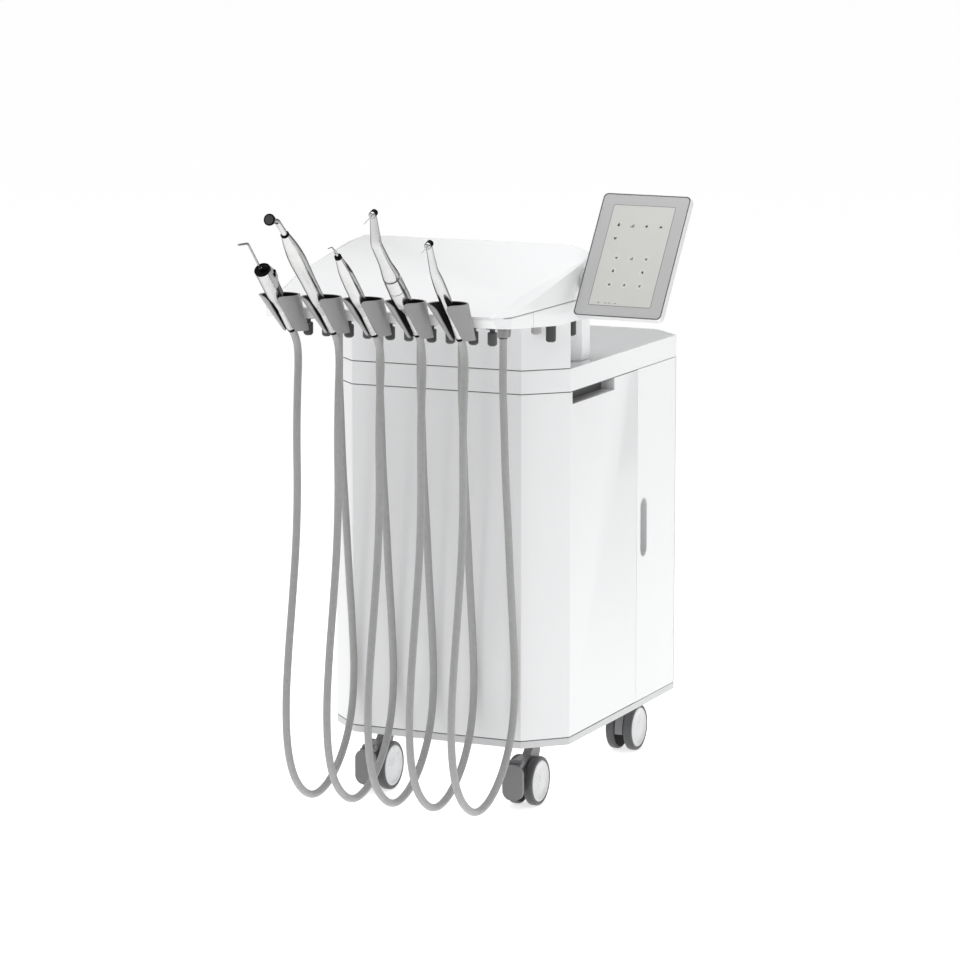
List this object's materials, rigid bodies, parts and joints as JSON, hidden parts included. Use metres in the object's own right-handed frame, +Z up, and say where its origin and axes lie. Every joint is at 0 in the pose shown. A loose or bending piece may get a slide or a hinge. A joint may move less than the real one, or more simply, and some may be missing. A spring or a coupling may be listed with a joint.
{
  "type": "portable dental unit",
  "caption": "Mobile dental delivery cabinet on casters with a wide head, hanging instruments on looped hoses, and a tilting touch panel.",
  "frame": {"origin": "on the floor under the middle of the cabinet", "axes": "+Z up, -Y towards the instruments in front, +X towards the touch panel"},
  "size_m": [0.5965, 1.0097, 1.0006],
  "materials": {
    "shell_white": "gloss lacquer",
    "frame_steel": "powder coat",
    "worktop_gray": "satin",
    "holder_gray": "satin",
    "hose_gray": "satin",
    "boot_gray": "satin",
    "valve_dark": "satin",
    "pull_gray": "satin",
    "compressor_paint": "powder coat",
    "bottle_plastic": "translucent",
    "control_plastic": "textured",
    "bracket_gray": "satin",
    "tablet_gray": "satin",
    "tablet_screen": "gloss",
    "instrument_light": "satin",
    "tool_steel": "polished",
    "lamp_tip": "satin",
    "satin_metal": "satin",
    "caster_gray": "satin",
    "tyre_gray": "matte",
    "hub_light": "satin"
  },
  "bodies": {
    "root": {"base_frame": "frame_steel", "compressor": "compressor_paint", "control_box": "control_plastic", "front_fascia": "shell_white", "front_panel": "shell_white", "handpiece_holders": "holder_gray", "head_column": "shell_white", "head_cover": "shell_white", "head_tray": "shell_white", "holder_rail": "shell_white", "hose_1": "hose_gray", "hose_2": "hose_gray", "hose_3": "hose_gray", "hose_4": "hose_gray", "hose_5": "hose_gray", "hose_sockets": "boot_gray", "left_panel": "shell_white", "rear_panel": "shell_white", "right_panel": "shell_white", "rim_band": "shell_white", "tablet_bracket": "bracket_gray", "valve_caps": "valve_dark", "water_bottle": "bottle_plastic", "worktop": "worktop_gray"},
    "door": {"side_door": "shell_white", "door_pull": "pull_gray"},
    "touch_panel": {"tablet_case": "tablet_gray", "tablet_glass": "tablet_screen"},
    "syringe": {"syringe_body": "instrument_light", "syringe_nozzle": "tool_steel"},
    "air_button": {"syringe_air_button": "valve_dark"},
    "water_button": {"syringe_water_button": "valve_dark"},
    "curing_light": {"curing_light_body": "instrument_light", "curing_light_tip": "lamp_tip"},
    "scaler": {"scaler_body": "instrument_light", "scaler_tip": "tool_steel"},
    "slow_handpiece": {"micromotor": "satin_metal", "contra_angle": "satin_metal"},
    "slow_bur": {"contra_bur": "tool_steel"},
    "fast_handpiece": {"turbine": "satin_metal"},
    "fast_bur": {"turbine_bur": "tool_steel"},
    "knob_1": {"flow_knob_1": "valve_dark"},
    "knob_2": {"flow_knob_2": "valve_dark"},
    "knob_3": {"flow_knob_3": "valve_dark"},
    "knob_4": {"flow_knob_4": "valve_dark"},
    "knob_5": {"flow_knob_5": "valve_dark"},
    "swivel_front_left": {"caster_front_left_fork": "caster_gray"},
    "wheels_front_left": {"caster_front_left_hubs": "hub_light", "caster_front_left_tyres": "tyre_gray"},
    "pedal_front_left": {"caster_front_left_pedal": "caster_gray"},
    "swivel_front_right": {"caster_front_right_fork": "caster_gray"},
    "wheels_front_right": {"caster_front_right_hubs": "hub_light", "caster_front_right_tyres": "tyre_gray"},
    "pedal_front_right": {"caster_front_right_pedal": "caster_gray"},
    "swivel_rear_left": {"caster_rear_left_fork": "caster_gray"},
    "wheels_rear_left": {"caster_rear_left_hubs": "hub_light", "caster_rear_left_tyres": "tyre_gray"},
    "swivel_rear_right": {"caster_rear_right_fork": "caster_gray"},
    "wheels_rear_right": {"caster_rear_right_hubs": "hub_light", "caster_rear_right_tyres": "tyre_gray"}
  },
  "joints": [
    {"name": "door_hinge", "type": "hinge", "parent": "root", "child": "door", "pos_m": [0.2035, 0.2235, 0.398], "axis": [0, 0, 1], "range_deg": [0, 95]},
    {"name": "panel_tilt", "type": "hinge", "parent": "root", "child": "touch_panel", "pos_m": [0.269, -0.20054, 0.85203], "axis": [0.9981, -0.061, 0], "range_deg": [-30, 30]},
    {"name": "syringe_lift", "type": "slide", "parent": "root", "child": "syringe", "axis": [0, -0.6909, 0.723], "range_m": [0, 0.085]},
    {"name": "curing_light_lift", "type": "slide", "parent": "root", "child": "curing_light", "axis": [0, -0.7009, 0.7133], "range_m": [0, 0.085]},
    {"name": "scaler_lift", "type": "slide", "parent": "root", "child": "scaler", "axis": [0, -0.6909, 0.723], "range_m": [0, 0.085]},
    {"name": "slow_handpiece_lift", "type": "slide", "parent": "root", "child": "slow_handpiece", "axis": [0, -0.6909, 0.723], "range_m": [0, 0.085]},
    {"name": "fast_handpiece_lift", "type": "slide", "parent": "root", "child": "fast_handpiece", "axis": [0, -0.6401, 0.7683], "range_m": [0, 0.085]},
    {"name": "air_press", "type": "slide", "parent": "syringe", "child": "air_button", "axis": [-0.9397, -0.2473, -0.2363], "range_m": [0, 0.002], "stiffness_N_per_m": 600, "springref_m": -0.001},
    {"name": "water_press", "type": "slide", "parent": "syringe", "child": "water_button", "axis": [-0.9397, -0.2473, -0.2363], "range_m": [0, 0.002], "stiffness_N_per_m": 600, "springref_m": -0.001},
    {"name": "slow_bur_spin", "type": "hinge", "parent": "slow_handpiece", "child": "slow_bur", "pos_m": [0.071, -0.66, 0.993], "axis": [0, -0.9292, -0.3697], "continuous": true},
    {"name": "fast_bur_spin", "type": "hinge", "parent": "fast_handpiece", "child": "fast_bur", "pos_m": [0.142, -0.6175, 0.946], "axis": [0, -0.9292, -0.3697], "continuous": true},
    {"name": "flow_knob_1_turn", "type": "hinge", "parent": "root", "child": "knob_1", "pos_m": [-0.158, -0.421, 0.78], "axis": [0, 0, 1], "range_deg": [-135, 135]},
    {"name": "flow_knob_2_turn", "type": "hinge", "parent": "root", "child": "knob_2", "pos_m": [-0.087, -0.421, 0.78], "axis": [0, 0, 1], "range_deg": [-135, 135]},
    {"name": "flow_knob_3_turn", "type": "hinge", "parent": "root", "child": "knob_3", "pos_m": [-0.016, -0.421, 0.78], "axis": [0, 0, 1], "range_deg": [-135, 135]},
    {"name": "flow_knob_4_turn", "type": "hinge", "parent": "root", "child": "knob_4", "pos_m": [0.055, -0.421, 0.78], "axis": [0, 0, 1], "range_deg": [-135, 135]},
    {"name": "flow_knob_5_turn", "type": "hinge", "parent": "root", "child": "knob_5", "pos_m": [0.126, -0.421, 0.78], "axis": [0, 0, 1], "range_deg": [-135, 135]},
    {"name": "swivel_front_left_turn", "type": "hinge", "parent": "root", "child": "swivel_front_left", "pos_m": [-0.131, -0.199, 0.1], "axis": [0, 0, 1], "continuous": true},
    {"name": "wheels_front_left_roll", "type": "hinge", "parent": "swivel_front_left", "child": "wheels_front_left", "pos_m": [-0.131, -0.22, 0.04], "axis": [1, 0, 0], "continuous": true},
    {"name": "pedal_front_left_lift", "type": "hinge", "parent": "swivel_front_left", "child": "pedal_front_left", "pos_m": [-0.131, -0.264, 0.076], "axis": [-1, 0, 0], "range_deg": [0, 25]},
    {"name": "swivel_front_right_turn", "type": "hinge", "parent": "root", "child": "swivel_front_right", "pos_m": [0.131, -0.199, 0.1], "axis": [0, 0, 1], "continuous": true},
    {"name": "wheels_front_right_roll", "type": "hinge", "parent": "swivel_front_right", "child": "wheels_front_right", "pos_m": [0.131, -0.22, 0.04], "axis": [1, 0, 0], "continuous": true},
    {"name": "pedal_front_right_lift", "type": "hinge", "parent": "swivel_front_right", "child": "pedal_front_right", "pos_m": [0.131, -0.264, 0.076], "axis": [-1, 0, 0], "range_deg": [0, 25]},
    {"name": "swivel_rear_left_turn", "type": "hinge", "parent": "root", "child": "swivel_rear_left", "pos_m": [-0.131, 0.223, 0.1], "axis": [0, 0, 1], "continuous": true},
    {"name": "wheels_rear_left_roll", "type": "hinge", "parent": "swivel_rear_left", "child": "wheels_rear_left", "pos_m": [-0.131, 0.202, 0.04], "axis": [1, 0, 0], "continuous": true},
    {"name": "swivel_rear_right_turn", "type": "hinge", "parent": "root", "child": "swivel_rear_right", "pos_m": [0.131, 0.223, 0.1], "axis": [0, 0, 1], "continuous": true},
    {"name": "wheels_rear_right_roll", "type": "hinge", "parent": "swivel_rear_right", "child": "wheels_rear_right", "pos_m": [0.131, 0.202, 0.04], "axis": [1, 0, 0], "continuous": true}
  ]
}
